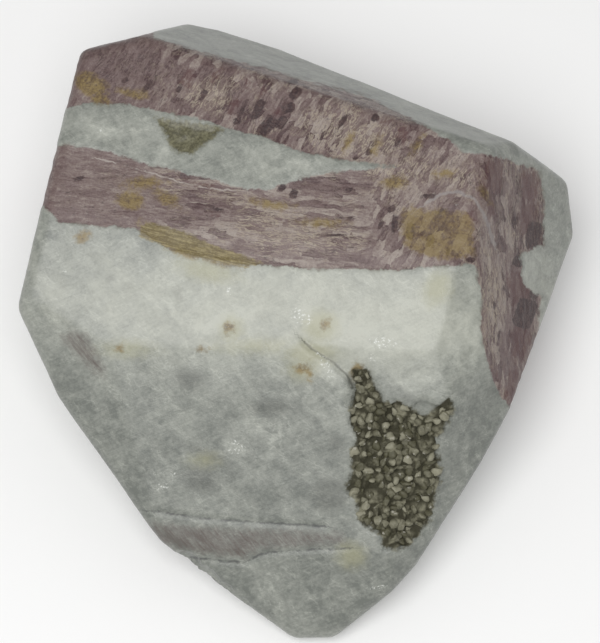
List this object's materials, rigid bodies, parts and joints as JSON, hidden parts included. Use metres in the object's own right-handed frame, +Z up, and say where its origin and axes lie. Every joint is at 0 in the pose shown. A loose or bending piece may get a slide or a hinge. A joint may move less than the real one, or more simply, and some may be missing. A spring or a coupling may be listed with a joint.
{
  "type": "polished tourmaline specimen",
  "caption": "Palm-size freeform stone of banded pink tourmaline in pale feldspar, ground in flat facets with rolled edges and a rough brown pocket; rests on a flat base facet.",
  "frame": {"origin": "middle of the box around the stone, on the plane of its flat base facet", "axes": "+Z up from the flat base facet, +Y from the narrow toe towards the broad back, +X to the right as the toe faces the viewer"},
  "size_m": [0.0714, 0.0786, 0.0354],
  "materials": {
    "polished_stone": "hand-polished satin, unpolished in the pocket"
  },
  "bodies": {
    "root": {"tourmaline_stone": "polished_stone"}
  },
  "joints": []
}
